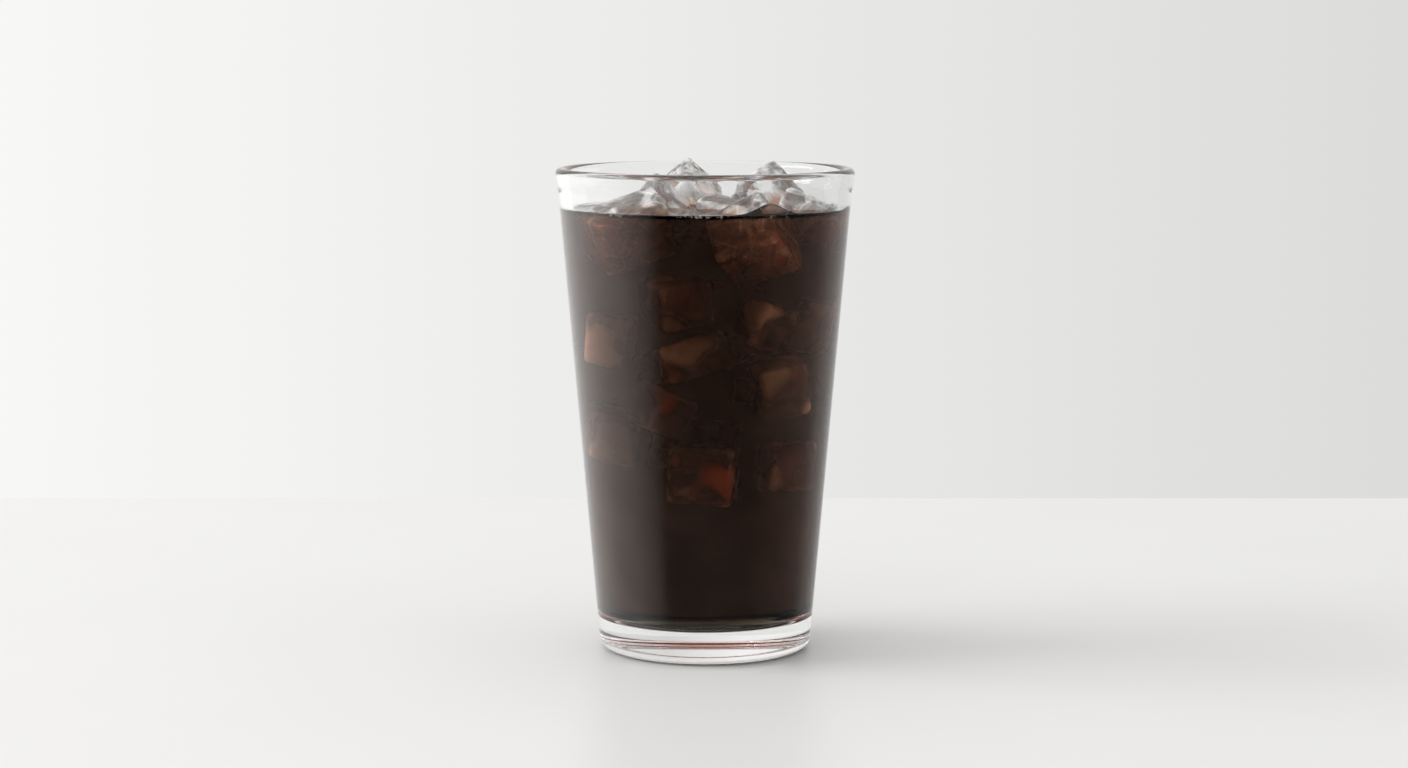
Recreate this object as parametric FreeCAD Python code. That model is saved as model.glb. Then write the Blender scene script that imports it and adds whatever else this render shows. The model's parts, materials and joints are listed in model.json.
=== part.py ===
"""Iced coffee in a tall straight-sided glass.

Millimetres, +Z up. The origin is the middle of the ring the glass stands on, and -Y is the front.
Sub-parts: the glass, the coffee up to its level, and the ice cubes that break its surface.
"""
import FreeCAD, Part
import math
import os

from FreeCAD import Placement, Rotation, Vector

# The glass: a cone with a thick clear foot, its wall flaring out a little just below the mouth.
GLASS_HEIGHT = 145.0
MOUTH_RADIUS = 45.0
FOOT_RADIUS = 31.65
WALL_AT_MOUTH = 3.7
WALL_AT_FOOT = 4.4
FOOT_THICKNESS = 9.5
HEEL_ROUND = 3.6
INNER_CORNER_ROUND = 5.0
FLARE_HEIGHT = 7.2
FLARE_PROUD = 0.35
FLARE_BLEND = 4.0
LIP_OUTER_ROUND = 1.6
REST_RING_INNER_RADIUS = 23.0
UNDERSIDE_HOLLOW = 0.9

# The coffee: level over most of its surface, drawn up against the wall.
COFFEE_LEVEL = 132.2
MENISCUS_RISE = 1.1
MENISCUS_WIDTH = 2.4
MENISCUS_HOLLOW = 0.37

# The ice: cubes with tapered sides and melted, rounded edges.
ICE_ROUND = 2.2
ICE_TAPER = 0.06

# Each cube that stands out of the coffee: its centre, its size, and its yaw, pitch and roll in degrees.
ICE_CUBES = {
    "ice_left": (Vector(-20.6, -13.2, 127.6), (22.0, 18.0, 18.0), (12, -20, 20)),
    "ice_back_left": (Vector(-14.5, 8.5, 131.4), (16.5, 16.0, 16.0), (20, 40, 33)),
    "ice_back": (Vector(-5.2, 26.8, 134.2), (17.5, 17.0, 17.0), (20, 40, 33)),
    "ice_back_right": (Vector(19.0, 19.0, 133.8), (17.5, 17.0, 17.0), (-24, 40, 36)),
    "ice_front": (Vector(12.6, -20.4, 125.0), (19.5, 19.5, 19.0), (67, 32, -27)),
    "ice_right": (Vector(28.2, -1.4, 129.8), (15.0, 15.0, 15.0), (-12, 26, -14)),
    "ice_middle": (Vector(4.5, 1.0, 130.2), (13.0, 12.0, 12.0), (-32, 14, 10)),
}


def outer_radius(z):
    """Radius of the outer wall, without the flare, at the height z."""
    return FOOT_RADIUS + (MOUTH_RADIUS - FLARE_PROUD - FOOT_RADIUS) * z / GLASS_HEIGHT


def inner_radius(z):
    """Radius of the inner wall, without the flare, at the height z."""
    wall = WALL_AT_FOOT + (WALL_AT_MOUTH - WALL_AT_FOOT) * z / GLASS_HEIGHT
    return outer_radius(z) - wall


def at(radius, z):
    """A point of a section, which lies in the plane of X and Z."""
    return Vector(radius, 0, z)


def line(start, end):
    return Part.LineSegment(start, end).toShape()


def arc(start, middle, end):
    return Part.Arc(start, middle, end).toShape()


def turned(edges):
    """The solid that a closed section makes when it turns round the glass's axis."""
    face = Part.Face(Part.Wire(edges))
    return face.revolve(Vector(0, 0, 0), Vector(0, 0, 1), 360)


def corner_arc(before, corner, after, radius):
    """Start, middle and end of the arc of this radius that rounds a corner between two straight lines."""
    back = (before - corner).normalize()
    ahead = (after - corner).normalize()
    half = back.getAngle(ahead) / 2
    reach = radius / math.tan(half)
    towards_centre = (back + ahead).normalize()
    centre = corner + towards_centre * (radius / math.sin(half))
    return corner + back * reach, centre - towards_centre * radius, corner + ahead * reach


def flare_edges(below, above):
    """Two tangent arcs that carry a wall, going up, onto a parallel line further out."""
    middle = (below + above) * 0.5
    rise = (above - below) / 4
    bow = Vector(-rise.z, 0, rise.x) * (FLARE_PROUD / FLARE_BLEND / 2)
    return [arc(below, below + rise + bow, middle), arc(middle, middle + rise - bow, above)]


def bowl_edges(top_radius, top_z):
    """The inside of the glass, from a point on the wall down to the axis: wall, round corner, floor."""
    wall_top = at(top_radius, top_z)
    corner = at(inner_radius(FOOT_THICKNESS), FOOT_THICKNESS)
    middle = at(0, FOOT_THICKNESS)
    start, bend, end = corner_arc(wall_top, corner, middle, INNER_CORNER_ROUND)
    return [line(wall_top, start), arc(start, bend, end), line(end, middle)]


def make_glass():
    """The glass: hollow underside, rounded heel, straight wall, flare, rounded lip and the inside."""
    hollow_top = at(0, UNDERSIDE_HOLLOW)
    hollow_edge = at(REST_RING_INNER_RADIUS, 0)
    hollow_middle = at(REST_RING_INNER_RADIUS / 2, UNDERSIDE_HOLLOW * 3 / 4)
    foot = at(outer_radius(0), 0)
    flare_z = GLASS_HEIGHT - FLARE_HEIGHT
    flared_z = flare_z + FLARE_BLEND
    outer_flare = at(outer_radius(flare_z), flare_z)
    outer_flared = at(outer_radius(flared_z) + FLARE_PROUD, flared_z)
    inner_flare = at(inner_radius(flare_z), flare_z)
    inner_flared = at(inner_radius(flared_z) + FLARE_PROUD, flared_z)
    heel_start, heel_bend, heel_end = corner_arc(hollow_edge, foot, outer_flare, HEEL_ROUND)

    lip_outer_z = GLASS_HEIGHT - LIP_OUTER_ROUND
    lip_outer = at(outer_radius(lip_outer_z) + FLARE_PROUD, lip_outer_z)
    crown = at(lip_outer.x - LIP_OUTER_ROUND, GLASS_HEIGHT)
    lip_inner_round = crown.x - inner_radius(GLASS_HEIGHT) - FLARE_PROUD
    lip_inner_z = GLASS_HEIGHT - lip_inner_round
    lip_inner = at(inner_radius(lip_inner_z) + FLARE_PROUD, lip_inner_z)
    slant = math.sqrt(0.5)
    outer_bend = at(crown.x + LIP_OUTER_ROUND * slant, lip_outer_z + LIP_OUTER_ROUND * slant)
    inner_bend = at(crown.x - lip_inner_round * slant, lip_inner_z + lip_inner_round * slant)

    edges = [
        arc(hollow_top, hollow_middle, hollow_edge),
        line(hollow_edge, heel_start),
        arc(heel_start, heel_bend, heel_end),
        line(heel_end, outer_flare),
    ]
    edges += flare_edges(outer_flare, outer_flared)
    edges += [
        line(outer_flared, lip_outer),
        arc(lip_outer, outer_bend, crown),
        arc(crown, inner_bend, lip_inner),
        line(lip_inner, inner_flared),
    ]
    edges += reversed(flare_edges(inner_flare, inner_flared))
    edges += bowl_edges(inner_flare.x, inner_flare.z)
    edges.append(line(at(0, FOOT_THICKNESS), hollow_top))
    return turned(edges)


def make_ice(centre, size, turn):
    """One melted cube: a block whose sides taper a little, with every edge rounded."""
    length, width, depth = (measure / 2 for measure in size)
    narrow = 1 - ICE_TAPER
    block = Part.makeWedge(
        -length, -width, -depth, -depth * narrow, -length * narrow,
        length, width, depth, depth * narrow, length * narrow,
    )
    cube = block.makeFillet(ICE_ROUND, block.Edges)
    cube.Placement = Placement(centre, Rotation(*turn))
    return cube


def make_coffee(ice):
    """The coffee fills the glass to its level, with a meniscus at the wall, and is cut round the ice."""
    wall_z = COFFEE_LEVEL + MENISCUS_RISE
    wall_top = at(inner_radius(wall_z), wall_z)
    flat_end = at(wall_top.x - MENISCUS_WIDTH, COFFEE_LEVEL)
    sag = at(wall_top.x - MENISCUS_WIDTH * MENISCUS_HOLLOW, COFFEE_LEVEL + MENISCUS_RISE * MENISCUS_HOLLOW)
    edges = [
        line(at(0, COFFEE_LEVEL), flat_end),
        arc(flat_end, sag, wall_top),
    ]
    edges += bowl_edges(wall_top.x, wall_top.z)
    edges.append(line(at(0, FOOT_THICKNESS), at(0, COFFEE_LEVEL)))
    return turned(edges).cut(ice)


def main():
    ice = {name: make_ice(*spec) for name, spec in ICE_CUBES.items()}
    parts = {"glass": make_glass(), "coffee": make_coffee(list(ice.values()))}
    parts.update(ice)
    os.makedirs("parts", exist_ok=True)
    for name, shape in parts.items():
        solids = shape.Solids
        if len(solids) != 1 or not shape.isValid():
            raise ValueError("%s is %d solids, valid: %s" % (name, len(solids), shape.isValid()))
        solids[0].exportStep("parts/%s.step" % name)
        print("%s %.0f mm3" % (name, solids[0].Volume))


main()
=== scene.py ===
"""Iced coffee in a tall tapered glass: the finish of every piece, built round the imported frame.

Metres, +Z up. The glass stands on the origin and -Y is the front.
"""

import json
import math
import random

import bmesh
import bpy
from bpy.props import FloatProperty, FloatVectorProperty, IntProperty, PointerProperty
from mathutils import Euler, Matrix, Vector, noise
from mathutils.bvhtree import BVHTree

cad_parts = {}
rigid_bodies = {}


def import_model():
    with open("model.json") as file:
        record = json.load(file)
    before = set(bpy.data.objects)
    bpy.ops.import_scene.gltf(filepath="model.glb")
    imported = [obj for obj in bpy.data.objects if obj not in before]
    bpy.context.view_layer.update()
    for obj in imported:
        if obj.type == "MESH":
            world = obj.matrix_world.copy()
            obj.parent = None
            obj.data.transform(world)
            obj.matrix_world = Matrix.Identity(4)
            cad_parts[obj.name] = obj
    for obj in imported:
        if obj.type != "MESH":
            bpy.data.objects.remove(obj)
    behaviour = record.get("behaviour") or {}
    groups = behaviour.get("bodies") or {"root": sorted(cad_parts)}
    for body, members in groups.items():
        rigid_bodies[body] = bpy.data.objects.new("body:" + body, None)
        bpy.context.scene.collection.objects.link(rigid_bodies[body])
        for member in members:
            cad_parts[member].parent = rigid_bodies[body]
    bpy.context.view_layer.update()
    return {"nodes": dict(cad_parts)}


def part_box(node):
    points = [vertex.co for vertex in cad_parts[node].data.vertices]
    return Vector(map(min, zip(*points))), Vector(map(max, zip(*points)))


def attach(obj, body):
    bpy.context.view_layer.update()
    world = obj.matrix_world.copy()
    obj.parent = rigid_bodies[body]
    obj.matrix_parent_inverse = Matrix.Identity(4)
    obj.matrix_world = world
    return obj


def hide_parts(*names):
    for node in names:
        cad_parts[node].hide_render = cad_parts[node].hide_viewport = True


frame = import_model()

bl_info = {
    "name": "Iced coffee",
    "version": (1, 0, 0),
    "blender": (4, 5, 0),
    "location": "3D View > Sidebar > Iced coffee",
    "description": "Builds a glass of iced coffee round its construction frame",
    "category": "Object",
}

MM = 0.001
GLASS_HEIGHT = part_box("glass")[1].z
MOUTH_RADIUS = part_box("glass")[1].x
FLOATING_ICE = sorted(name for name in frame["nodes"] if name.startswith("ice_"))

# The cubes under the surface, in millimetres and degrees: centre, size, and yaw, pitch and roll.
SUNK_ICE = [
    ((15.0, -20.0, 100.5), (13.0, 12.0, 14.0), (50, 20, 15)),
    ((-7.5, -19.0, 108.0), (16.0, 16.0, 15.0), (22, -12, 14)),
    ((-2.5, -20.5, 91.0), (20.0, 14.0, 12.0), (8, -17, -8)),
    ((-24.0, -9.0, 96.0), (14.0, 15.0, 16.0), (-20, 8, 10)),
    ((-12.0, -18.5, 75.5), (14.0, 14.0, 14.0), (40, 22, 18)),
    ((19.5, -13.5, 81.5), (15.0, 15.0, 17.0), (20, -10, 12)),
    ((26.0, -3.5, 99.5), (13.0, 15.0, 16.0), (12, 15, 10)),
    ((-22.0, -2.0, 66.5), (14.0, 16.0, 16.0), (-12, 8, 10)),
    ((-0.5, -21.5, 56.5), (19.0, 14.0, 18.0), (-8, 4, 3)),
    ((20.5, -8.5, 57.0), (15.0, 15.0, 16.0), (28, 6, -6)),
    ((0.0, 19.0, 105.0), (17.0, 17.0, 16.0), (35, 12, 5)),
    ((-16.0, 16.5, 85.0), (15.0, 16.0, 15.0), (10, -14, 16)),
    ((15.5, 17.0, 82.0), (16.0, 15.0, 16.0), (-25, 12, 10)),
    ((-2.0, 19.5, 62.0), (16.0, 16.0, 16.0), (5, 14, -14)),
]

# The bubbles at the coffee's edge: the direction and spread of each cluster in degrees, and how many it has.
EDGE_BUBBLES = [(-92, 9, 26), (-60, 5, 8), (-128, 6, 9), (40, 12, 10), (115, 16, 12)]

# The air in each sort of ice: flaws per square metre of surface, and the largest in millimetres.
FLOATING_FLAWS = (1.6e5, 0.28)
SUNK_FLAWS = (1.4e4, 0.17)

# The room that the glass mirrors: directions in degrees from straight ahead, left positive, and brightness.
MIRRORED_ROOM = [
    (-180, 0.8), (-125, 0.6), (-108, 0.30), (-85, 0.14), (-50, 0.02), (-20, 0.0), (38, 0.0),
    (50, 0.6), (75, 1.5), (112, 1.8), (121, 1.7), (180, 0.8),
]

# Refraction, and the tint of reflections. Coffee, wetted glass and sunk ice reflect nothing seen squarely.
GLASS_IOR = 1.5
COFFEE_IOR = 1.333
ICE_IOR = 1.31
FULL_MIRROR = (1, 1, 1, 1)
NO_MIRROR = (0, 0, 0, 1)

# The hollows of melted ice: how wide the broad, middling and fine ones are, and the least that melts away.
BROAD_HOLLOW = 7.5 * MM
MIDDLE_HOLLOW = 3.2 * MM
FINE_HOLLOW = 1.6 * MM
LEAST_MELT = 0.02 * MM

# Points along each stretch of a section.
HOLLOW_STEPS = 12
CORNER_STEPS = 14
OUTER_WALL_STEPS = 56
INNER_WALL_STEPS = 48
FLARE_STEPS = 24
LIP_OUTER_STEPS = 10
LIP_INNER_STEPS = 12
SHORT_STEPS = 6
FLOOR_STEPS = 14
SURFACE_STEPS = 84

# Points closer than the first are one point, and a face closer than the second lies on a surface.
WELD = 0.001 * MM
CLOSE = 0.1 * MM


# ---------------------------------------------------------------- sizes and colours

def size(name, description, millimetres):
    """A length that a user can change."""
    return FloatProperty(
        name=name, description=description, default=millimetres * MM, unit="LENGTH", precision=5,
    )


def colour(name, description, value):
    """A colour that a user can change."""
    return FloatVectorProperty(
        name=name, description=description, default=value, subtype="COLOR", min=0, max=1,
    )


def fraction(name, description, value):
    """A part of one that a user can change."""
    return FloatProperty(name=name, description=description, default=value, min=0, max=1)


def rotation(name, description, degrees):
    """An angle that a user can change."""
    return FloatProperty(name=name, description=description, default=math.radians(degrees), unit="ROTATION")


class GlassSettings(bpy.types.PropertyGroup):
    foot_radius: size("Foot radius", "Outer radius of the cone at the height of the foot", 31.65)
    wall_at_mouth: size("Wall at mouth", "Thickness of the wall at the mouth", 3.7)
    wall_at_foot: size("Wall at foot", "Thickness of the wall at the foot", 4.4)
    foot_thickness: size("Foot thickness", "Thickness of the clear foot", 9.5)
    heel_round: size("Heel round", "Radius of the rounded lower edge", 3.6)
    inner_corner: size("Inner corner", "Radius between the inner wall and the floor", 5.0)
    ring_radius: size("Ring radius", "Radius of the hollow under the foot", 23.0)
    hollow: size("Hollow", "Height of the hollow under the foot", 0.9)
    flare_height: size("Flare height", "Height of the mouth, from where it flares out", 7.2)
    flare_blend: size("Flare blend", "Height over which the wall flares out", 4.0)
    flare_proud: size("Flare proud", "How far the mouth flares out of the line of the wall", 0.35)
    lip_round: size("Lip round", "Radius of the outer edge of the lip", 1.6)
    turns: IntProperty(name="Facets", description="Facets round the glass", default=256, min=48)
    tint: colour("Tint", "Colour of the glass", (0.985, 0.99, 0.988))


class CoffeeSettings(bpy.types.PropertyGroup):
    level: size("Level", "Height of the coffee's surface", 132.2)
    reach: size("Reach", "How far the coffee reaches into the glass, so that no gap shows", 0.25)
    wall_rise: size("Wall rise", "Height of the meniscus at the wall", 1.1)
    ice_rise: size("Ice rise", "Height of the meniscus round the ice", 0.8)
    bridge_rise: size("Bridge rise", "How high the coffee climbs between ice and wall", 3.6)
    hump: size("Hump", "How far the coffee is drawn up the wall beside the front cube", 3.2)
    hump_angle: rotation("Hump angle", "Direction of the hump seen from the axis", -63)
    hump_width: rotation("Hump width", "Half width of the hump round the wall", 8)
    meniscus: size("Meniscus", "Distance over which a meniscus falls away", 1.1)
    bridge: size("Bridge", "Gap between ice and wall that the coffee climbs", 2.1)
    body: colour("Body", "Colour of the fine grounds and oils that float in the coffee", (0.97, 0.52, 0.36))
    cloud: fraction("Cloud", "How much light the coffee's body turns back", 0.05)
    depth_tint: colour("Depth tint", "Colour that the coffee lets through", (0.51, 0.46, 0.39))
    density: FloatProperty(
        name="Density", description="Strength of the coffee, per metre", default=250.0, min=0,
    )


class IceSettings(bpy.types.PropertyGroup):
    edge_round: size("Edge round", "Radius of a sunk cube's edges", 2.0)
    taper: FloatProperty(name="Taper", description="How much a cube narrows", default=0.06, min=0, max=0.5)
    voxel: size("Voxel", "Size of the facets of a melted surface", 0.55)
    melt: size("Melt", "Depth of the broad hollows of a melted face", 0.9)
    ripple: size("Ripple", "Depth of the small ripples of a melted face", 0.16)
    fit: size("Fit", "How far the coffee reaches into the ice, so that no gap shows", 0.1)
    tint: colour("Tint", "Colour of clear ice", (0.97, 0.98, 0.985))
    frost: colour("Frost", "Colour of the bubbles in the ice", (0.93, 0.94, 0.95))
    warm: colour("Warm", "Colour of the frosted patches of a sunk cube", (1.0, 0.84, 0.66))
    stain: colour("Stain", "Colour of the coffee that clings to the ice", (0.80, 0.53, 0.33))
    floating_frost: fraction("Floating frost", "How white the frosted patches of a floating cube are", 0.60)
    # How white the edges are: partly frost, partly a painted glint along the edges.
    floating_white_edges_and_glint: fraction("Floating wear", "How white the edges of a floating cube are", 0.6)
    sunk_frost: fraction("Sunk frost", "How white the frosted patches of a sunk cube are", 0.90)
    # How white the edges are: partly frost, partly a painted glint along the edges.
    sunk_white_edges_and_glint: fraction("Sunk wear", "How white the edges of a sunk cube are", 0.38)


class StudioSettings(bpy.types.PropertyGroup):
    floor: colour("Floor", "Colour of the floor", (0.845, 0.84, 0.83))
    window: FloatProperty(name="Window", description="Power of the window light", default=28.0, unit="POWER")
    distance: size("Distance", "Distance of the camera in front of the glass", 960.0)
    eye_height: size("Eye height", "Height of the camera", 193.5)
    tilt: rotation("Tilt", "How far the camera looks down", 6.75)
    lens: FloatProperty(name="Lens", description="Focal length in millimetres", default=82.1)


# ---------------------------------------------------------------- nodes

def add_node(tree, kind, sockets=None, **settings):
    """Adds a node. A socket is given a value, or another node's output to be linked to."""
    node = tree.nodes.new(kind)
    for key, value in settings.items():
        setattr(node, key, value)
    for key, value in (sockets or {}).items():
        if isinstance(value, bpy.types.NodeSocket):
            tree.links.new(value, node.inputs[key])
        else:
            node.inputs[key].default_value = value
    return node


def maths(tree, operation, *values):
    """The output of a Math node."""
    return add_node(tree, "ShaderNodeMath", dict(enumerate(values)), operation=operation).outputs[0]


def mapped(tree, value, low, high, to_low, to_high, interpolation="SMOOTHSTEP"):
    """The output of a Map Range node."""
    sockets = {"Value": value, "From Min": low, "From Max": high, "To Min": to_low, "To Max": to_high}
    return add_node(tree, "ShaderNodeMapRange", sockets, interpolation_type=interpolation).outputs["Result"]


def grain(tree, position, scale, detail=3.0, distortion=0.0):
    """The value of a noise texture."""
    sockets = {"Vector": position, "Scale": scale, "Detail": detail, "Distortion": distortion}
    return add_node(tree, "ShaderNodeTexNoise", sockets).outputs[0]


def blended(tree, factor, first, second):
    """One colour running into another. Each is a colour or a node's output."""
    ends = [end if isinstance(end, bpy.types.NodeSocket) else (*end, 1) for end in (first, second)]
    sockets = {"Factor": factor, 6: ends[0], 7: ends[1]}
    return add_node(tree, "ShaderNodeMix", sockets, data_type="RGBA").outputs[2]


def between(tree, factor, first, second):
    """One value running into another."""
    sockets = {0: factor, 2: first, 3: second}
    return add_node(tree, "ShaderNodeMix", sockets, data_type="FLOAT").outputs[0]


def lessened(tree, value, loss):
    """A value that has lost a part of itself: nothing where loss is 0, everything where it is 1."""
    return maths(tree, "MULTIPLY", value, maths(tree, "SUBTRACT", 1.0, loss))


def random_value(tree, low, high, seed):
    """A random value in a Geometry Nodes tree."""
    sockets = {2: low, 3: high, "Seed": seed}
    return add_node(tree, "FunctionNodeRandomValue", sockets, data_type="FLOAT").outputs[1]


def new_material(name):
    """A material with an empty tree, its tree, and the Object coordinates."""
    material = bpy.data.materials.new(name)
    material.use_nodes = True
    tree = material.node_tree
    tree.nodes.clear()
    position = add_node(tree, "ShaderNodeTexCoord").outputs["Object"]
    return material, tree, position


def finish_material(tree, sockets, volume=None):
    """One Principled shader with these sockets, and the volume if there is one."""
    shader = add_node(tree, "ShaderNodeBsdfPrincipled", sockets)
    output = add_node(tree, "ShaderNodeOutputMaterial", {"Surface": shader.outputs[0]})
    if volume:
        tree.links.new(volume.outputs[0], output.inputs["Volume"])


def bump(tree, height, strength, distance):
    """The normal that a height gives."""
    sockets = {"Height": height, "Strength": strength, "Distance": distance}
    return add_node(tree, "ShaderNodeBump", sockets).outputs[0]


# ---------------------------------------------------------------- finishes

def glass_finish(name, wetted=False):
    """Clear pressed glass, faintly wavy and hazed by wiping. A wetted face has no mirror."""
    settings = bpy.context.scene.coffee_glass
    material, tree, position = new_material(name)
    haze = grain(tree, position, 38.0, 5.0, 0.4)
    wave = grain(tree, position, 26.0, 1.0)
    finish_material(tree, {
        "Base Color": (*settings.tint, 1),
        "Transmission Weight": 1.0,
        "IOR": GLASS_IOR,
        "Specular Tint": NO_MIRROR if wetted else FULL_MIRROR,
        "Roughness": mapped(tree, haze, 0.45, 0.8, 0.0, 0.012),
        "Normal": bump(tree, wave, 0.02, 0.001),
    })
    return material


def coffee_finish(name, clouded_with_painted_sides=True):
    """Black coffee: strongly coloured in depth, and a little cloudy from its oils unless told otherwise. The
    cloud is painted thicker at its left and right sides, a painted brightening of those sides.
    """
    settings = bpy.context.scene.coffee_drink
    material, tree, position = new_material(name)
    oils = grain(tree, position, 90.0, 4.0, 0.6)
    ripples = grain(tree, position, 160.0, 2.0)
    body = settings.body if clouded_with_painted_sides else (1.0, 0.98, 0.96)
    darker = [value * 0.94 for value in body]
    volume = add_node(tree, "ShaderNodeVolumeAbsorption", {
        "Color": (*settings.depth_tint, 1),
        "Density": settings.density,
    })
    finish_material(tree, {
        "Base Color": blended(tree, oils, body, darker),
        "Transmission Weight": past_oils_and_painted_sides(tree, position, oils) if clouded_with_painted_sides else 1.0,
        "IOR": COFFEE_IOR,
        "Specular Tint": NO_MIRROR,
        "Roughness": mapped(tree, oils, 0.4, 0.8, 0.0, 0.02),
        "Normal": bump(tree, ripples, 0.03, 0.001),
    }, volume)
    return material


def past_oils_and_painted_sides(tree, position, oils):
    """How much light passes the oils in the coffee. Towards the left and right sides, along object X, more is
    turned back, which paints those sides brighter as painted light.
    """
    cloud = bpy.context.scene.coffee_drink.cloud
    across = add_node(tree, "ShaderNodeSeparateXYZ", {0: position}).outputs["X"]
    # Painted light: the cloud grows towards the left and right sides, so those sides are painted brighter.
    side = maths(tree, "ABSOLUTE", across)
    turned_back_with_painted_sides = mapped(tree, side, 6 * MM, 30 * MM, cloud * 0.7, cloud * 1.4)
    uneven = mapped(tree, oils, 0.3, 0.7, 0.75, 1.25)
    return maths(tree, "SUBTRACT", 1.0, maths(tree, "MULTIPLY", turned_back_with_painted_sides, uneven))


def ice_finish(name, sunk=False):
    """Wet ice: clear and frosted patches, and white edges, partly frost and partly painted glints. Sunk ice
    has no cracks, no stain and no mirror.
    """
    settings = bpy.context.scene.coffee_ice
    material, tree, position = new_material(name)
    patches = grain(tree, position, 120.0, 4.0, 0.8)
    lines = grain(tree, position, 520.0, 3.0, 0.5)
    if sunk:
        clear, edge_frost_and_glint, frosted_colour = 0.98, settings.sunk_white_edges_and_glint, settings.warm
        broad_patches = grain(tree, position, 62.0, 1.0)
        see_through = mapped(tree, broad_patches, 0.50, 0.62, clear, clear - settings.sunk_frost)
    else:
        clear, edge_frost_and_glint, frosted_colour = 0.88, settings.floating_white_edges_and_glint, (1, 1, 1)
        see_through = mapped(tree, patches, 0.42, 0.64, clear, clear - settings.floating_frost)
    # Painted highlight: the rounded edges are whitened, partly as frost and partly as painted glints along
    # them.
    edge_share = add_node(tree, "ShaderNodeAttribute", attribute_name="edge").outputs["Fac"]
    whitened_by_frost_and_glint = mapped(tree, edge_share, 0.45, 0.95, 0.0, edge_frost_and_glint)
    uneven = mapped(tree, patches, 0.42, 0.58, 0.15, 1.0)
    see_through = lessened(tree, see_through, maths(tree, "MULTIPLY", whitened_by_frost_and_glint, uneven))
    white = blended(tree, patches, settings.tint, frosted_colour)
    if not sunk:
        see_through = lessened(tree, see_through, cracks(tree, position, patches))
        white = stained(tree, position, white)
    finish_material(tree, {
        "Base Color": white,
        "Transmission Weight": see_through,
        "IOR": ICE_IOR,
        "Specular Tint": NO_MIRROR if sunk else FULL_MIRROR,
        "Roughness": mapped(tree, patches, 0.48, 0.72, 0.0, 0.16),
        "Normal": bump(tree, lines, 0.12, 0.0006),
    })
    return material


def cracks(tree, position, patches):
    """Fine white cracks, in the frosted patches only."""
    cells = {"Vector": position, "Scale": 75.0}
    edges = add_node(tree, "ShaderNodeTexVoronoi", cells, feature="DISTANCE_TO_EDGE").outputs["Distance"]
    fine = mapped(tree, edges, 0.0, 0.035, 1.0, 0.0)
    frosted = mapped(tree, patches, 0.45, 0.6, 0.0, 1.0)
    whiteness = 0.7
    return maths(tree, "MULTIPLY", maths(tree, "MULTIPLY", fine, frosted), whiteness)


def stained(tree, position, white):
    """A colour browned by the coffee that clings to ice just above the coffee's level."""
    level = bpy.context.scene.coffee_drink.level
    height = add_node(tree, "ShaderNodeSeparateXYZ", {0: position}).outputs["Z"]
    near_level = mapped(tree, height, level + 1.0 * MM, level + 4.5 * MM, 0.8, 0.0)
    splashed = mapped(tree, grain(tree, position, 70.0, 2.0), 0.44, 0.60, 0.0, 1.0)
    stain = maths(tree, "MULTIPLY", near_level, splashed)
    return blended(tree, stain, white, bpy.context.scene.coffee_ice.stain)


def frost_finish():
    """Air frozen into the ice: white, soft and partly see-through."""
    settings = bpy.context.scene.coffee_ice
    material, tree, position = new_material("frozen_air")
    cloud = grain(tree, position, 300.0, 3.0)
    finish_material(tree, {
        "Base Color": blended(tree, cloud, settings.frost, (1, 1, 1)),
        "Transmission Weight": 0.55,
        "IOR": 1.25,
        "Roughness": mapped(tree, cloud, 0.3, 0.7, 0.15, 0.4),
    })
    return material


def bubble_finish():
    """A bubble of coffee: a thin bright skin."""
    material, tree, position = new_material("coffee_bubble")
    skin = grain(tree, position, 900.0, 2.0)
    finish_material(tree, {
        "Base Color": blended(tree, skin, (0.95, 0.90, 0.84), (1, 0.98, 0.95)),
        "Transmission Weight": 0.6,
        "IOR": 1.12,
        "Roughness": mapped(tree, skin, 0.3, 0.7, 0.03, 0.12),
    })
    return material


# ---------------------------------------------------------------- meshes

def new_object(name, mesh, material=None):
    """A new object at the origin, in the scene."""
    made = bpy.data.objects.new(name, mesh)
    bpy.context.scene.collection.objects.link(made)
    if material:
        mesh.materials.clear()
        mesh.materials.append(material)
    return made


def applied(made, *modifiers):
    """Gives an object these modifiers, and makes their result its plain mesh."""
    for kind, settings in modifiers:
        modifier = made.modifiers.new(kind, kind)
        for key, value in settings.items():
            setattr(modifier, key, value)
    return settle(made)


def settle(made):
    """Makes the evaluated shape an object's plain mesh, and drops its modifiers."""
    evaluated = made.evaluated_get(bpy.context.evaluated_depsgraph_get())
    mesh = bpy.data.meshes.new_from_object(evaluated)
    made.modifiers.clear()
    old = made.data
    made.data = mesh
    bpy.data.meshes.remove(old)
    mesh.name = made.name
    return made


def grow(made, group, **inputs):
    """Runs a Geometry Nodes tree on an object, with these inputs, and keeps the result as a plain mesh."""
    modifier = made.modifiers.new(group.name, "NODES")
    modifier.node_group = group
    for item in group.interface.items_tree:
        if item.item_type == "SOCKET" and item.in_out == "INPUT" and item.name in inputs:
            modifier[item.identifier] = inputs[item.name]
    settle(made)
    keep_material(made.data, inputs["Finish"])
    return made


def keep_material(mesh, material):
    """Leaves one material on every face of a mesh."""
    mesh.materials.clear()
    mesh.materials.append(material)
    for face in mesh.polygons:
        face.material_index = 0


def new_tree(name, sockets):
    """A Geometry Nodes tree with these named inputs after its geometry."""
    tree = bpy.data.node_groups.new(name, "GeometryNodeTree")
    tree.interface.new_socket("Geometry", in_out="INPUT", socket_type="NodeSocketGeometry")
    for label, kind in sockets:
        tree.interface.new_socket(label, in_out="INPUT", socket_type="NodeSocket" + kind)
    tree.interface.new_socket("Geometry", in_out="OUTPUT", socket_type="NodeSocketGeometry")
    return tree, add_node(tree, "NodeGroupInput").outputs


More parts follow.
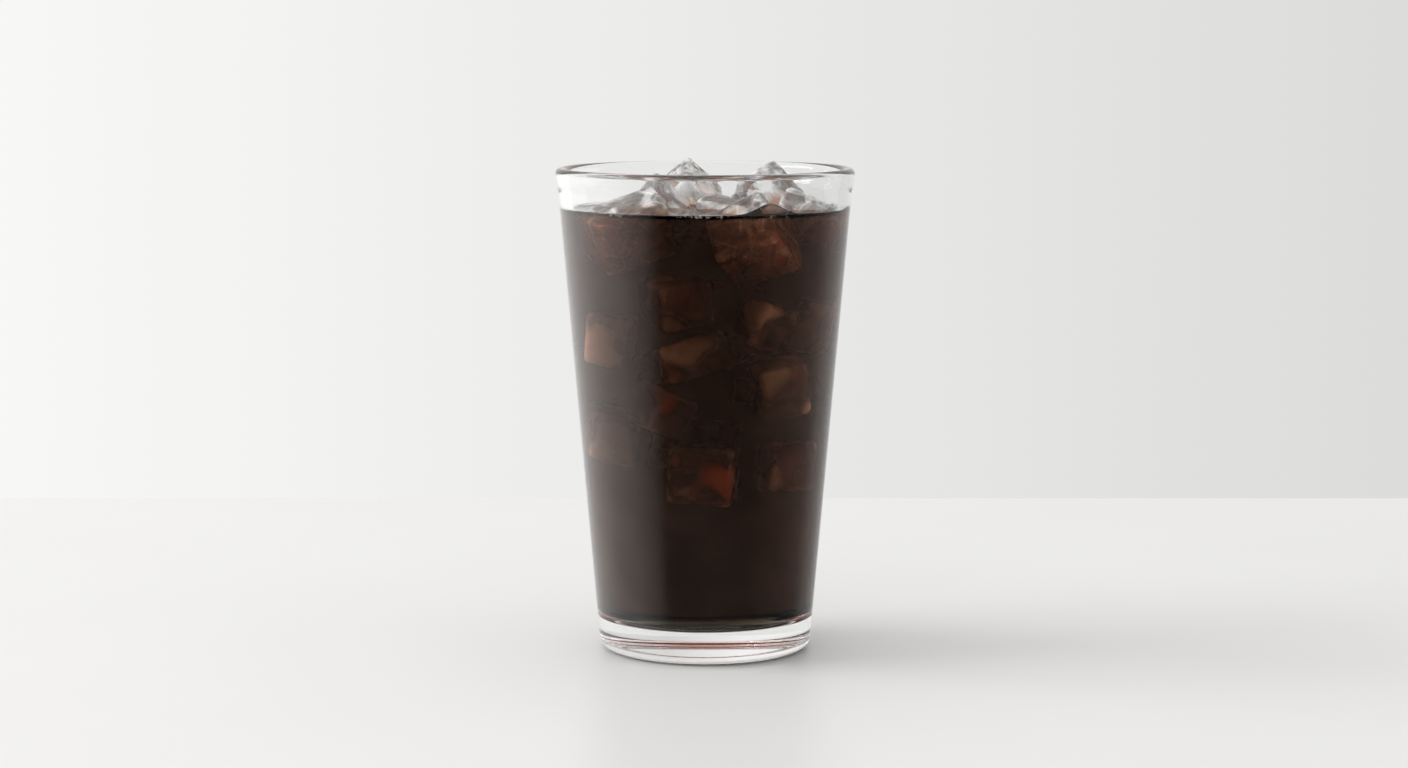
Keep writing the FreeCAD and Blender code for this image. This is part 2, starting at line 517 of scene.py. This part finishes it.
def end_tree(tree, geometry, material):
    """Ends a tree in real, smooth geometry with its material."""
    real = add_node(tree, "GeometryNodeRealizeInstances", {"Geometry": geometry})
    smooth = add_node(tree, "GeometryNodeSetShadeSmooth", {"Geometry": real.outputs[0]})
    painted = add_node(tree, "GeometryNodeSetMaterial", {"Geometry": smooth.outputs[0], "Material": material})
    add_node(tree, "NodeGroupOutput", {"Geometry": painted.outputs[0]})
    return tree


def turning_tree():
    """Turns a section, a line of points from the axis back to the axis, into a closed round body."""
    tree, given = new_tree("turned_section", [("Facets", "Int"), ("Finish", "Material")])
    points = given["Geometry"]
    count = add_node(tree, "GeometryNodeAttributeDomainSize", {"Geometry": points}).outputs["Point Count"]
    last = maths(tree, "SUBTRACT", count, 1.0)
    grid = add_node(tree, "GeometryNodeMeshGrid", {
        "Size X": math.tau,
        "Size Y": last,
        "Vertices X": maths(tree, "ADD", given["Facets"], 1.0),
        "Vertices Y": count,
    })
    position = add_node(tree, "GeometryNodeInputPosition").outputs[0]
    place = add_node(tree, "ShaderNodeSeparateXYZ", {0: position})
    step = maths(tree, "ROUND", maths(tree, "ADD", place.outputs["Y"], maths(tree, "DIVIDE", last, 2.0)))
    point = add_node(tree, "GeometryNodeSampleIndex", {
        "Geometry": points,
        "Value": position,
        "Index": step,
    }, data_type="FLOAT_VECTOR", domain="POINT")
    turned = add_node(tree, "ShaderNodeVectorRotate", {
        "Vector": point.outputs[0],
        "Angle": place.outputs["X"],
    }, rotation_type="Z_AXIS")
    moved = add_node(tree, "GeometryNodeSetPosition", {
        "Geometry": grid.outputs["Mesh"],
        "Position": turned.outputs[0],
    })
    sewn = add_node(tree, "GeometryNodeMergeByDistance", {"Geometry": moved.outputs[0], "Distance": WELD})
    return end_tree(tree, sewn.outputs[0], given["Finish"])


def scatter_tree():
    """Scatters round flaws at random depths under a surface, in clusters."""
    tree, given = new_tree("flaws_under_a_surface", [
        ("Density", "Float"), ("Shallow", "Float"), ("Deep", "Float"), ("Smallest", "Float"),
        ("Largest", "Float"), ("Cluster", "Float"), ("Seed", "Int"), ("Finish", "Material"),
    ])
    position = add_node(tree, "GeometryNodeInputPosition").outputs[0]
    cluster = mapped(tree, grain(tree, position, given["Cluster"], 2.0), 0.48, 0.66, 0.0, 1.0)
    points = add_node(tree, "GeometryNodeDistributePointsOnFaces", {
        "Mesh": given["Geometry"],
        "Density": maths(tree, "MULTIPLY", given["Density"], cluster),
        "Seed": given["Seed"],
    })
    depth = random_value(tree, given["Shallow"], given["Deep"], given["Seed"])
    inwards = add_node(tree, "ShaderNodeVectorMath", {
        0: points.outputs["Normal"], "Scale": maths(tree, "MULTIPLY", depth, -1.0),
    }, operation="SCALE")
    moved = add_node(tree, "GeometryNodeSetPosition", {
        "Geometry": points.outputs["Points"],
        "Offset": inwards.outputs[0],
    })
    chance = random_value(tree, 0.0, 1.0, maths(tree, "ADD", given["Seed"], 7.0))
    skewed = maths(tree, "POWER", chance, 3.0)
    radius = mapped(tree, skewed, 0.0, 1.0, given["Smallest"], given["Largest"], "LINEAR")
    ball = add_node(tree, "GeometryNodeMeshIcoSphere", {"Radius": 1.0, "Subdivisions": 2})
    placed = add_node(tree, "GeometryNodeInstanceOnPoints", {
        "Points": moved.outputs[0], "Instance": ball.outputs[0], "Scale": radius,
    })
    return end_tree(tree, placed.outputs[0], given["Finish"])


def beads_tree():
    """Puts a round bead on each point, as large as the point's bead_radius."""
    tree, given = new_tree("beads_on_points", [("Finish", "Material")])
    points = add_node(tree, "GeometryNodeMeshToPoints", {"Mesh": given["Geometry"]})
    radius = add_node(tree, "GeometryNodeInputNamedAttribute", {"Name": "bead_radius"}, data_type="FLOAT")
    ball = add_node(tree, "GeometryNodeMeshIcoSphere", {"Radius": 1.0, "Subdivisions": 3})
    placed = add_node(tree, "GeometryNodeInstanceOnPoints", {
        "Points": points.outputs[0], "Instance": ball.outputs[0], "Scale": radius.outputs[0],
    })
    return end_tree(tree, placed.outputs[0], given["Finish"])


def turned_body(name, section, facets, material):
    """A closed round body from its section, a list of points with a radius and a height."""
    mesh = bpy.data.meshes.new(name)
    mesh.from_pydata([(radius, 0, z) for radius, z in section], [], [])
    made = grow(new_object(name, mesh), turning_tree(), Facets=facets, Finish=material)
    point_outwards(made.data)
    return made


def point_outwards(mesh):
    """Turns every face of a closed mesh outwards."""
    shape = bmesh.new()
    shape.from_mesh(mesh)
    bmesh.ops.recalc_face_normals(shape, faces=shape.faces)
    shape.to_mesh(mesh)
    shape.free()


# ---------------------------------------------------------------- sections

def straight(start, end, steps):
    """Points from start up to end, closer together near both, so that a long wall is shaded evenly."""
    points = []
    for step in range(steps):
        share = (1 - math.cos(math.pi * step / steps)) / 2
        points.append((start[0] + (end[0] - start[0]) * share, start[1] + (end[1] - start[1]) * share))
    return points


def quarter(centre, radius_across, radius_up, start, end, steps):
    """Points along an arc or a part of an ellipse, its angles in degrees from the outward direction."""
    points = []
    for step in range(steps):
        angle = math.radians(start + (end - start) * step / steps)
        points.append((centre[0] + radius_across * math.cos(angle), centre[1] + radius_up * math.sin(angle)))
    return points


def rounded_corner(before, corner, after, radius):
    """Points along the arc of this radius that rounds a corner between two straight lines."""
    before, corner, after = Vector(before), Vector(corner), Vector(after)
    back = (before - corner).normalized()
    ahead = (after - corner).normalized()
    half = back.angle(ahead) / 2
    middle = corner + (back + ahead).normalized() * (radius / math.sin(half))
    start = corner + back * (radius / math.tan(half)) - middle
    end = corner + ahead * (radius / math.tan(half)) - middle
    turn = start.angle_signed(end)
    points = []
    for step in range(CORNER_STEPS + 1):
        angle = -turn * step / CORNER_STEPS
        across = start.x * math.cos(angle) - start.y * math.sin(angle)
        up = start.x * math.sin(angle) + start.y * math.cos(angle)
        points.append((middle.x + across, middle.y + up))
    return points


def outer_radius(z):
    """Radius of the outer wall, without the flare, at the height z."""
    settings = bpy.context.scene.coffee_glass
    widest = MOUTH_RADIUS - settings.flare_proud
    return settings.foot_radius + (widest - settings.foot_radius) * z / GLASS_HEIGHT


def inner_radius(z):
    """Radius of the inner wall, without the flare, at the height z."""
    settings = bpy.context.scene.coffee_glass
    wall = settings.wall_at_foot + (settings.wall_at_mouth - settings.wall_at_foot) * z / GLASS_HEIGHT
    return outer_radius(z) - wall


def bowl_section(top, reach):
    """The inside of the glass from a point on its wall down to the axis, pushed into the glass by reach."""
    settings = bpy.context.scene.coffee_glass
    floor_z = settings.foot_thickness - reach
    corner = (inner_radius(floor_z) + reach, floor_z)
    middle = (0, floor_z)
    bend = rounded_corner(top, corner, middle, settings.inner_corner + reach)
    wall = straight(top, bend[0], INNER_WALL_STEPS)
    return wall + bend + straight(bend[-1], middle, FLOOR_STEPS)[1:] + [middle]


def flared(radius_at, heights):
    """Points of a wall through its flare, at these heights."""
    settings = bpy.context.scene.coffee_glass
    points = []
    for z in heights:
        share = (z - GLASS_HEIGHT + settings.flare_height) / settings.flare_blend
        share = min(max(share, 0), 1)
        points.append((radius_at(z) + settings.flare_proud * share * share * (3 - 2 * share), z))
    return points


def glass_section():
    """The glass: hollow underside, rounded heel, straight wall, flare, rounded lip and the inside."""
    settings = bpy.context.scene.coffee_glass
    section = []
    for step in range(HOLLOW_STEPS):
        radius = settings.ring_radius * step / HOLLOW_STEPS
        section.append((radius, settings.hollow * (1 - (step / HOLLOW_STEPS) ** 2)))
    ring = (settings.ring_radius, 0)
    foot = (outer_radius(0), 0)
    flare_z = GLASS_HEIGHT - settings.flare_height
    wall_end = (outer_radius(flare_z), flare_z)
    heel = rounded_corner(ring, foot, wall_end, settings.heel_round)
    section += straight(ring, heel[0], SHORT_STEPS) + heel
    section += straight(heel[-1], wall_end, OUTER_WALL_STEPS)[1:]
    heights = [flare_z + settings.flare_blend * step / FLARE_STEPS for step in range(FLARE_STEPS + 1)]
    lip_z = GLASS_HEIGHT - settings.lip_round
    lip = (outer_radius(lip_z) + settings.flare_proud, lip_z)
    section += flared(outer_radius, heights)
    section += straight(section[-1], lip, SHORT_STEPS)[1:]
    crown_radius = lip[0] - settings.lip_round
    inner_round = crown_radius - inner_radius(GLASS_HEIGHT) - settings.flare_proud
    inner_z = GLASS_HEIGHT - inner_round
    inner_lip = (inner_radius(inner_z) + settings.flare_proud, inner_z)
    outer_round = settings.lip_round
    section += quarter((crown_radius, lip_z), outer_round, outer_round, 0, 90, LIP_OUTER_STEPS)
    inner_across = crown_radius - inner_lip[0]
    section += quarter((crown_radius, inner_z), inner_across, inner_round, 90, 180, LIP_INNER_STEPS)
    inner_flare = flared(inner_radius, reversed(heights))
    section += straight(inner_lip, inner_flare[0], SHORT_STEPS) + inner_flare[:-1]
    return section + bowl_section(inner_flare[-1], 0)


def coffee_section():
    """The coffee: from the middle of its surface out to the wall, then down the inside of the glass."""
    settings = bpy.context.scene.coffee_drink
    edge = inner_radius(settings.level)
    crowding = 1.25
    section = []
    for step in range(SURFACE_STEPS + 1):
        radius = edge * (1 - (1 - step / SURFACE_STEPS) ** crowding)
        rise = settings.wall_rise * math.exp((radius - edge) / settings.meniscus)
        section.append((radius, settings.level + rise))
    top_z = settings.level + settings.wall_rise
    return section + bowl_section((inner_radius(top_z) + settings.reach, top_z), settings.reach)


# ---------------------------------------------------------------- ice

def merged_copy(name, source):
    """A copy of a frame node, with its loose triangles joined up."""
    made = new_object(name, source.data.copy())
    shape = bmesh.new()
    shape.from_mesh(made.data)
    bmesh.ops.remove_doubles(shape, verts=shape.verts, dist=WELD)
    shape.to_mesh(made.data)
    shape.free()
    return made


def sunk_block(name, centre, sides, turn):
    """A tapered block with rounded edges, in its place under the surface."""
    settings = bpy.context.scene.coffee_ice
    shape = bmesh.new()
    bmesh.ops.create_cube(shape, size=1)
    for corner in shape.verts:
        narrow = 1 - settings.taper if corner.co.y > 0 else 1
        x, y, z = corner.co
        corner.co = Vector((x * sides[0] * narrow, y * sides[1], z * sides[2] * narrow)) * MM
    bmesh.ops.bevel(
        shape, geom=shape.edges[:], offset=settings.edge_round, segments=3, profile=0.5, affect="EDGES",
    )
    yaw, pitch, roll = (math.radians(angle) for angle in turn)
    shape.transform(Euler((roll, pitch, yaw), "XYZ").to_matrix().to_4x4())
    bmesh.ops.translate(shape, verts=shape.verts, vec=Vector(centre) * MM)
    mesh = bpy.data.meshes.new(name)
    shape.to_mesh(mesh)
    shape.free()
    return new_object(name, mesh)


def melt(made, seed):
    """Gives a block its melted surface, hollows and ripples that all go inwards, and marks its edges."""
    settings = bpy.context.scene.coffee_ice
    applied(made, ("REMESH", {"mode": "VOXEL", "voxel_size": settings.voxel}))
    applied(made, ("SMOOTH", {"factor": 0.5, "iterations": 3}))
    shape = bmesh.new()
    shape.from_mesh(made.data)
    shape.normal_update()
    shift = Vector((seed * 17.3, seed * 5.1, seed * 9.7))
    depths = []
    edges = []
    for point in shape.verts:
        # Round an edge the neighbours sag by the voxel squared over four radii. On a flat face they don't.
        around = [edge.other_vert(point).co for edge in point.link_edges]
        sagging = (point.co - sum(around, Vector()) / len(around)).dot(point.normal)
        edges.append(min(max(sagging * 4 * settings.edge_round / settings.voxel ** 2, 0), 1))
    for point in shape.verts:
        broad = noise.noise(point.co / BROAD_HOLLOW + shift)
        middle = noise.noise(point.co / MIDDLE_HOLLOW + shift)
        fine = noise.fractal(point.co / FINE_HOLLOW + shift, 0.8, 2.0, 3)
        depth = settings.melt * (0.35 + 0.55 * broad + 0.14 * middle) + settings.ripple * fine
        depths.append(max(depth, LEAST_MELT))
    for point, depth in zip(shape.verts, depths):
        point.co -= point.normal * depth
    shape.to_mesh(made.data)
    shape.free()
    made.data.attributes.new("edge", "FLOAT", "POINT").data.foreach_set("value", edges)
    made.data.shade_smooth()
    return made


def shrunk_mesh(made, distance):
    """A copy of an object's mesh with its surface moved inwards."""
    mesh = made.data.copy()
    for point, normal in zip(mesh.vertices, [n.vector.copy() for n in mesh.vertex_normals]):
        point.co -= normal * distance
    return mesh


def joined(name, meshes, flipped=False):
    """One object from several meshes, turned inside out if flipped."""
    shape = bmesh.new()
    for mesh in meshes:
        shape.from_mesh(mesh)
    if flipped:
        bmesh.ops.reverse_faces(shape, faces=shape.faces)
    mesh = bpy.data.meshes.new(name)
    shape.to_mesh(mesh)
    shape.free()
    mesh.shade_smooth()
    return new_object(name, mesh)


def floating_ice():
    """The finished cubes that break the surface."""
    return [bpy.data.objects["floating_" + name] for name in FLOATING_ICE]


# ---------------------------------------------------------------- operators

class OBJECT_OT_coffee_glass(bpy.types.Operator):
    """Make the glass"""
    bl_idname = "object.coffee_glass"
    bl_label = "Glass"

    def execute(self, context):
        settings = context.scene.coffee_glass
        made = turned_body("tall_glass", glass_section(), settings.turns, glass_finish("clear_glass"))
        self.wet_inside(made.data)
        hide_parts("glass")
        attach(made, "root")
        return {"FINISHED"}

    def wet_inside(self, mesh):
        """Gives the inner faces that the coffee touches the wetted finish."""
        drink = bpy.context.scene.coffee_drink
        floor_z = bpy.context.scene.coffee_glass.foot_thickness
        mesh.materials.append(glass_finish("wetted_glass", wetted=True))
        for face in mesh.polygons:
            middle = face.center
            inside = middle.xy.length < inner_radius(middle.z) + CLOSE
            if inside and floor_z - CLOSE < middle.z < drink.level + drink.wall_rise:
                face.material_index = 1


class OBJECT_OT_coffee_floating_ice(bpy.types.Operator):
    """Make the cubes that break the surface"""
    bl_idname = "object.coffee_floating_ice"
    bl_label = "Floating ice"

    def execute(self, context):
        material = ice_finish("wet_ice")
        for seed, name in enumerate(FLOATING_ICE):
            made = melt(merged_copy("floating_" + name, frame["nodes"][name]), seed)
            keep_material(made.data, material)
            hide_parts(name)
            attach(made, "root")
        return {"FINISHED"}


class OBJECT_OT_coffee_sunk_ice(bpy.types.Operator):
    """Make the cubes under the surface"""
    bl_idname = "object.coffee_sunk_ice"
    bl_label = "Sunk ice"

    def execute(self, context):
        cubes = []
        for seed, (centre, sides, turn) in enumerate(SUNK_ICE):
            cubes.append(melt(sunk_block("sunk_cube", centre, sides, turn), 20 + seed))
        made = joined("sunk_ice", [cube.data for cube in cubes])
        made.data.materials.append(ice_finish("sunk_ice", sunk=True))
        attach(made, "root")
        fit = context.scene.coffee_ice.fit
        joined("sunk_cavities", [shrunk_mesh(cube, fit) for cube in cubes], flipped=True)
        for cube in cubes:
            bpy.data.objects.remove(cube)
        return {"FINISHED"}


class OBJECT_OT_coffee_drink(bpy.types.Operator):
    """Make the coffee round the ice, with its meniscus"""
    bl_idname = "object.coffee_drink"
    bl_label = "Coffee"

    def execute(self, context):
        settings = context.scene.coffee_drink
        facets = context.scene.coffee_glass.turns
        made = turned_body("black_coffee", coffee_section(), facets, coffee_finish("black_coffee"))
        self.lift_surface(made.data, settings)
        fit = context.scene.coffee_ice.fit
        cutter = joined("ice_cutter", [shrunk_mesh(cube, fit) for cube in floating_ice()])
        applied(made, ("BOOLEAN", {"operation": "DIFFERENCE", "object": cutter, "solver": "MANIFOLD"}))
        bpy.data.objects.remove(cutter)
        cavities = bpy.data.objects["sunk_cavities"]
        shape = bmesh.new()
        shape.from_mesh(made.data)
        shape.from_mesh(cavities.data)
        shape.to_mesh(made.data)
        shape.free()
        bpy.data.objects.remove(cavities)
        made.data.shade_smooth()
        made.data.set_sharp_from_angle(angle=math.radians(50))
        self.clear_floor_and_rim(made.data)
        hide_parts("coffee")
        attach(made, "root")
        return {"FINISHED"}

    def clear_floor_and_rim(self, mesh):
        """Gives the coffee's floor, the corner round it and its rim a finish without clouds and without the
        painted side brightening.
        """
        glass = bpy.context.scene.coffee_glass
        drink = bpy.context.scene.coffee_drink
        keep_material(mesh, mesh.materials[0])
        mesh.materials.append(coffee_finish("coffee_underside", clouded_with_painted_sides=False))
        for face in mesh.polygons:
            middle = face.center
            low = middle.z < glass.foot_thickness + glass.inner_corner
            by_wall = middle.xy.length > inner_radius(middle.z) - 2 * drink.meniscus
            if low or (by_wall and middle.z > drink.level + CLOSE):
                face.material_index = 1

    def lift_surface(self, mesh, settings):
        """Draws the surface up round the ice, and higher where ice and wall are close together."""
        shape = bmesh.new()
        for cube in floating_ice():
            shape.from_mesh(cube.data)
        ice = BVHTree.FromBMesh(shape)
        shape.free()
        for point in mesh.vertices:
            if point.co.z < settings.level - 0.01 * MM:
                continue
            to_ice = ice.find_nearest(point.co)[3]
            to_wall = max(0, inner_radius(point.co.z) - point.co.xy.length)
            rise = settings.ice_rise * math.exp(-to_ice / settings.meniscus)
            rise += settings.bridge_rise * math.exp(-((to_ice + to_wall) / settings.bridge) ** 2)
            turned = math.atan2(point.co.y, point.co.x) - settings.hump_angle
            away = (turned / settings.hump_width) ** 2 + (to_wall / (2 * settings.meniscus)) ** 2
            point.co.z += max(rise, settings.hump * math.exp(-away))


class OBJECT_OT_coffee_flaws(bpy.types.Operator):
    """Make the air frozen into the ice"""
    bl_idname = "object.coffee_flaws"
    bl_label = "Bubbles in the ice"

    def execute(self, context):
        tree = scatter_tree()
        finish = frost_finish()
        surfaces = {
            "floating_ice_bubbles": ([cube.data for cube in floating_ice()], *FLOATING_FLAWS),
            "sunk_ice_bubbles": ([bpy.data.objects["sunk_ice"].data], *SUNK_FLAWS),
        }
        for seed, (name, (meshes, density, largest)) in enumerate(surfaces.items()):
            made = grow(
                joined(name, meshes), tree, Density=density, Shallow=0.5 * MM, Deep=3.5 * MM,
                Smallest=0.05 * MM, Largest=largest * MM, Cluster=150.0, Seed=3 + seed, Finish=finish,
            )
            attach(made, "root")
        return {"FINISHED"}


class OBJECT_OT_coffee_edge_bubbles(bpy.types.Operator):
    """Make the small bubbles that gather at the edge of the coffee"""
    bl_idname = "object.coffee_edge_bubbles"
    bl_label = "Bubbles at the edge"

    def execute(self, context):
        settings = context.scene.coffee_drink
        chance = random.Random(11)
        smallest, extra, gap = 0.14, 0.34, 0.05 * MM
        places, radii = [], []
        for cluster, spread, count in EDGE_BUBBLES:
            for _ in range(count):
                radius = (smallest + extra * chance.random() ** 2) * MM
                angle = math.radians(chance.gauss(cluster, spread / 2))
                inwards = abs(chance.gauss(0, 0.5)) * MM
                out = inner_radius(settings.level) - radius - gap - inwards
                rise = settings.wall_rise * math.exp(-(radius + inwards) / settings.meniscus)
                places.append((out * math.cos(angle), out * math.sin(angle), settings.level + rise))
                radii.append(radius)
        mesh = bpy.data.meshes.new("edge_bubbles")
        mesh.from_pydata(places, [], [])
        mesh.attributes.new("bead_radius", "FLOAT", "POINT").data.foreach_set("value", radii)
        made = grow(new_object("edge_bubbles", mesh), beads_tree(), Finish=bubble_finish())
        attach(made, "root")
        return {"FINISHED"}


class OBJECT_OT_coffee_stage(bpy.types.Operator):
    """Make the floor, the lights, the surroundings and the camera"""
    bl_idname = "object.coffee_stage"
    bl_label = "Stage"

    def execute(self, context):
        settings = context.scene.coffee_studio
        self.make_floor(settings)
        self.make_window(settings)
        self.make_surroundings(context.scene)
        self.make_camera(context.scene, settings)
        cycles = context.scene.cycles
        cycles.max_bounces = 40
        cycles.transmission_bounces = 40
        cycles.glossy_bounces = 24
        cycles.transparent_max_bounces = 32
        cycles.sample_clamp_indirect = 6.0
        cycles.blur_glossy = 0.3
        context.scene.view_settings.view_transform = "Standard"
        return {"FINISHED"}

    def make_floor(self, settings):
        """A pale satin floor that ends a little behind the glass."""
        left, right, front, back, top = -3.0, 3.0, -3.0, 0.294, -0.3 * MM
        corners = [(left, front, top), (right, front, top), (right, back, top), (left, back, top)]
        mesh = bpy.data.meshes.new("floor")
        mesh.from_pydata(corners, [], [(0, 1, 2, 3)])
        material, tree, position = new_material("floor")
        patches = grain(tree, position, 9.0, 4.0)
        darker = [value * 0.97 for value in settings.floor]
        finish_material(tree, {
            "Base Color": blended(tree, patches, settings.floor, darker),
            "IOR": 1.36,
            "Roughness": mapped(tree, patches, 0.3, 0.7, 0.38, 0.44),
        })
        floor = new_object("floor", mesh, material)
        floor.visible_glossy = False

    def make_window(self, settings):
        """The large soft window on the left."""
        light = bpy.data.lights.new("window", "AREA")
        light.shape = "RECTANGLE"
        light.size, light.size_y = 1.6, 1.3
        light.energy = settings.window
        lamp = bpy.data.objects.new("window", light)
        lamp.location = (-2.0, -0.05, 1.15)
        lamp.rotation_euler = (Vector((0, 0, 0.06)) - lamp.location).to_track_quat("-Z", "Y").to_euler()
        lamp.visible_camera = False
        bpy.context.scene.collection.objects.link(lamp)

    def make_surroundings(self, scene):
        """A pale room that darkens from left to right. Mirrors show a room of their own."""
        world = bpy.data.worlds.new("room")
        world.use_nodes = True
        scene.world = world
        tree = world.node_tree
        tree.nodes.clear()
        direction = add_node(tree, "ShaderNodeTexCoord").outputs["Generated"]
        axes = add_node(tree, "ShaderNodeSeparateXYZ", {0: direction}).outputs
        pale = mapped(tree, axes["X"], -0.24, 0.24, 0.95, 0.70, "LINEAR")
        path = add_node(tree, "ShaderNodeLightPath").outputs
        is_mirror = maths(tree, "MULTIPLY", path["Is Glossy Ray"], path["Is Reflection Ray"])
        strength = between(tree, is_mirror, pale, self.mirrored_room(tree, axes))
        sockets = {"Color": (1.0, 0.997, 0.99, 1), "Strength": strength}
        shader = add_node(tree, "ShaderNodeBackground", sockets)
        add_node(tree, "ShaderNodeOutputWorld", {"Surface": shader.outputs[0]})

    def mirrored_room(self, tree, axes):
        """Brightness of the mirrored room: dark ahead, bright at the sides, and plain above."""
        left = maths(tree, "MULTIPLY", axes["X"], -1.0)
        ahead = maths(tree, "MULTIPLY", axes["Y"], -1.0)
        around = maths(tree, "ARCTAN2", left, ahead)
        ramp = add_node(tree, "ShaderNodeValToRGB", {
            "Fac": mapped(tree, around, -math.pi, math.pi, 0, 1, "LINEAR"),
        })
        self.set_stops(ramp.color_ramp, MIRRORED_ROOM)
        # The ramp holds half of each brightness. This doubles it again, a little less towards the floor.
        doubling = mapped(tree, axes["Z"], -0.32, -0.12, 1.35, 2.0)
        near_floor = mapped(tree, axes["Z"], -0.36, -0.29, 0.1, 0.0)
        low = maths(tree, "ADD", maths(tree, "MULTIPLY", ramp.outputs["Color"], doubling), near_floor)
        high = mapped(tree, axes["Y"], -0.6, 0.6, 0.35, 0.85)
        upper = mapped(tree, axes["Z"], -0.06, 0.06, 0.0, 1.0)
        return between(tree, upper, low, high)

    def set_stops(self, ramp, stops):
        """Fills a colour ramp with halved greys, as its colours end at one."""
        while len(ramp.elements) < len(stops):
            ramp.elements.new(0.5)
        for element, (angle, value) in zip(ramp.elements, stops):
            element.position = angle / 360 + 0.5
            element.color = (value / 2, value / 2, value / 2, 1)

    def make_camera(self, scene, settings):
        """The camera, a little above the rim and looking slightly down."""
        data = bpy.data.cameras.new("camera")
        data.lens = settings.lens
        data.sensor_width = 36
        camera = bpy.data.objects.new("camera", data)
        aside = -0.3 * MM
        camera.location = (aside, -settings.distance, settings.eye_height)
        camera.rotation_euler = (math.radians(90) - settings.tilt, 0, 0)
        scene.collection.objects.link(camera)
        scene.camera = camera


OPERATORS = (
    OBJECT_OT_coffee_stage,
    OBJECT_OT_coffee_glass,
    OBJECT_OT_coffee_floating_ice,
    OBJECT_OT_coffee_sunk_ice,
    OBJECT_OT_coffee_drink,
    OBJECT_OT_coffee_flaws,
    OBJECT_OT_coffee_edge_bubbles,
)
SETTINGS = {
    "coffee_glass": GlassSettings,
    "coffee_drink": CoffeeSettings,
    "coffee_ice": IceSettings,
    "coffee_studio": StudioSettings,
}


class VIEW3D_PT_iced_coffee(bpy.types.Panel):
    """Lists the pieces of the iced coffee and their settings"""
    bl_idname = "VIEW3D_PT_iced_coffee"
    bl_label = "Iced coffee"
    bl_space_type = "VIEW_3D"
    bl_region_type = "UI"
    bl_category = "Iced coffee"

    def draw(self, context):
        for operator in OPERATORS:
            self.layout.operator(operator.bl_idname)
        for name, group in SETTINGS.items():
            box = self.layout.box()
            for key in group.__annotations__:
                box.prop(getattr(context.scene, name), key)


def register():
    for group in SETTINGS.values():
        bpy.utils.register_class(group)
    for name, group in SETTINGS.items():
        setattr(bpy.types.Scene, name, PointerProperty(type=group))
    for made in (*OPERATORS, VIEW3D_PT_iced_coffee):
        bpy.utils.register_class(made)


def unregister():
    for made in (VIEW3D_PT_iced_coffee, *reversed(OPERATORS)):
        bpy.utils.unregister_class(made)
    for name, group in SETTINGS.items():
        delattr(bpy.types.Scene, name)
        bpy.utils.unregister_class(group)


def main():
    register()
    bpy.ops.object.coffee_stage()
    bpy.ops.object.coffee_glass()
    bpy.ops.object.coffee_floating_ice()
    bpy.ops.object.coffee_sunk_ice()
    bpy.ops.object.coffee_drink()
    bpy.ops.object.coffee_flaws()
    bpy.ops.object.coffee_edge_bubbles()


if __name__ == "__main__":
    main()
